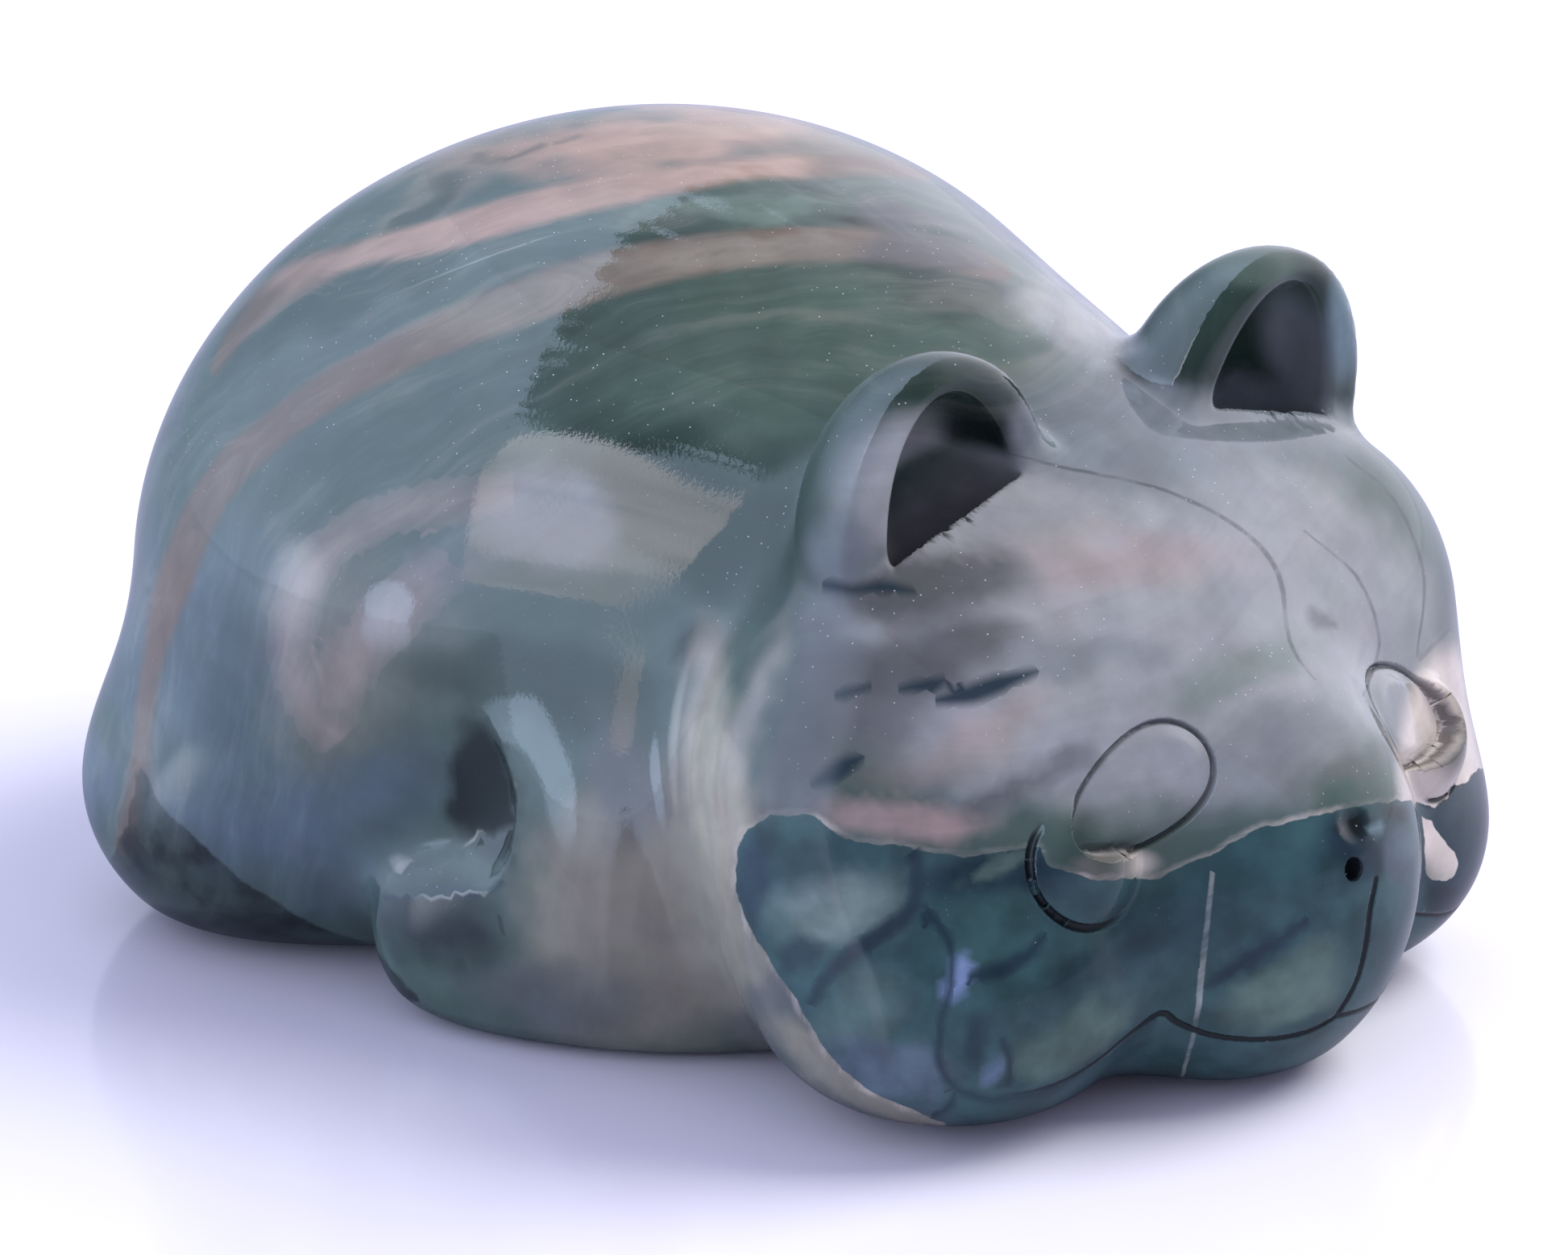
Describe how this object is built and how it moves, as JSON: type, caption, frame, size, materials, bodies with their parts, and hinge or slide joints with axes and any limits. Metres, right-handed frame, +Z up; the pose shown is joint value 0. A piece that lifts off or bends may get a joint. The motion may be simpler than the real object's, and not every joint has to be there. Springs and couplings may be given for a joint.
{
  "type": "carved stone panda",
  "caption": "Crouching panda carved from one pebble of banded green and grey stone, polished all over, with scooped ears, hooded eyes and an engraved mouth; rests on its flat underside.",
  "frame": {"origin": "middle of the rectangle round the carving, on the flat underside that it rests on", "axes": "+Z up from the underside, -Y the way the face looks, +X the panda's left"},
  "size_m": [0.0576, 0.078, 0.0425],
  "materials": {
    "stone": "polished banded green, grey and pinkish-beige stone"
  },
  "bodies": {
    "root": {"panda_carving": "stone"}
  },
  "joints": []
}
